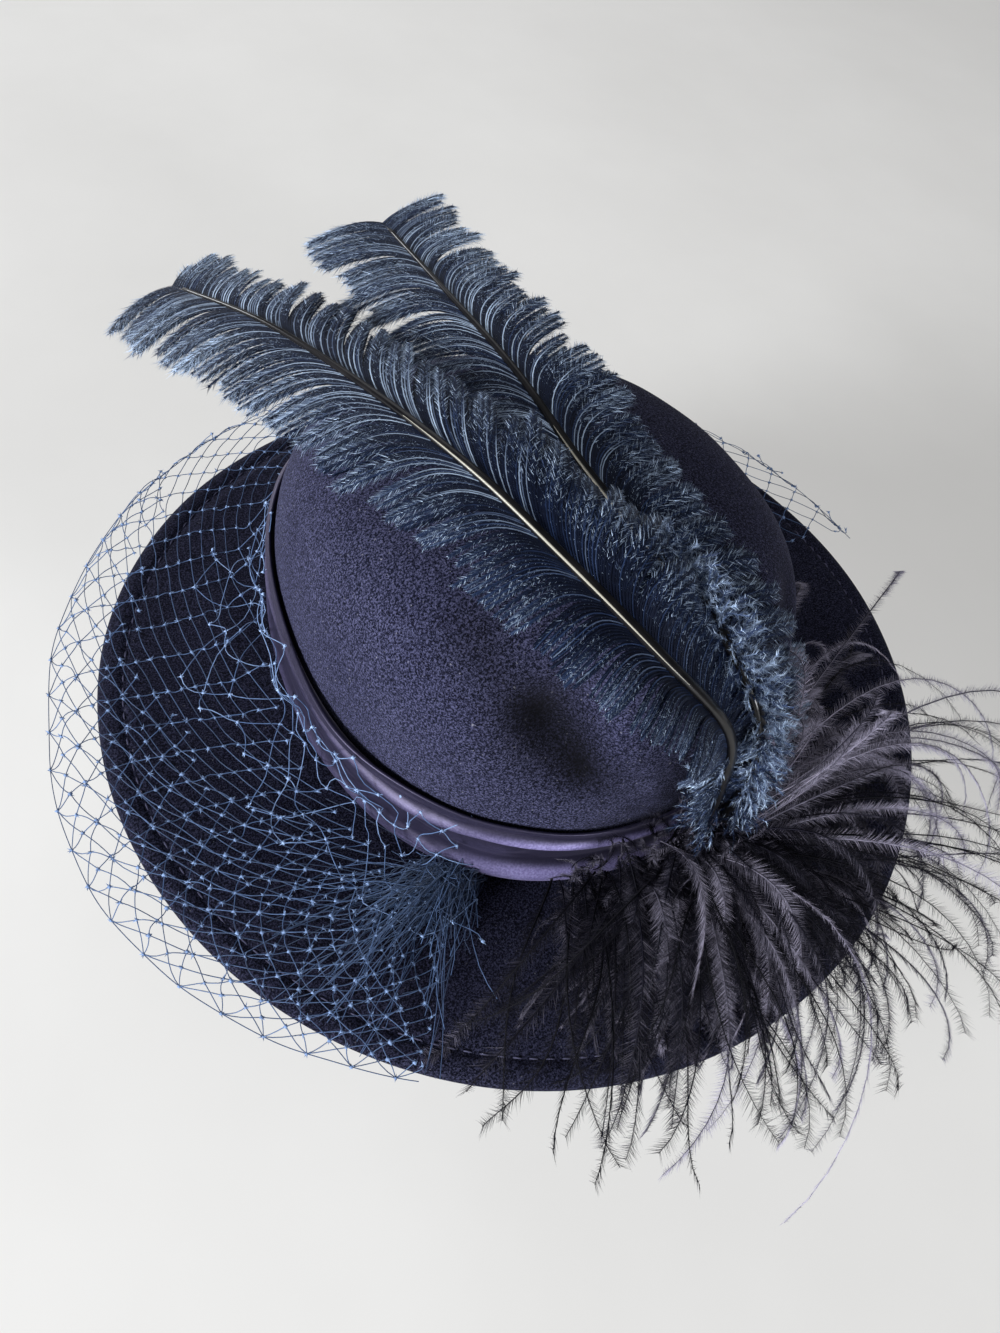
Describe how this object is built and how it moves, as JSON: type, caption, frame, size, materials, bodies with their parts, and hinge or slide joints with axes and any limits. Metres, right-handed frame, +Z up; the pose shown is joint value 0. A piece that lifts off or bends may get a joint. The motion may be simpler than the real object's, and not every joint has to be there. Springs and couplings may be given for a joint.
{
  "type": "feathered hat",
  "caption": "Felt dress hat with a pinched crown, wide stitched brim, draped satin band, gathered net veil, trimmed plumes and a spray of curling flues.",
  "frame": {"origin": "centre of the head oval at the foot of the crown, where the hat sits on a head", "axes": "+Z up through the crown, -Y to the pinched front, +X to the wearer's left"},
  "size_m": [0.3833, 0.3981, 0.1936],
  "materials": {
    "felt": "matt wool felt with a fine nap",
    "satin": "soft satin sheen",
    "net": "matt knotted thread",
    "plume": "downy barbs, glossy quill",
    "flue": "fine wispy barbules"
  },
  "bodies": {
    "root": {"crown": "felt", "brim": "felt", "band": "satin", "veil": "net", "plume_front": "plume", "plume_back": "plume", "feather_spray": "flue"}
  },
  "joints": []
}
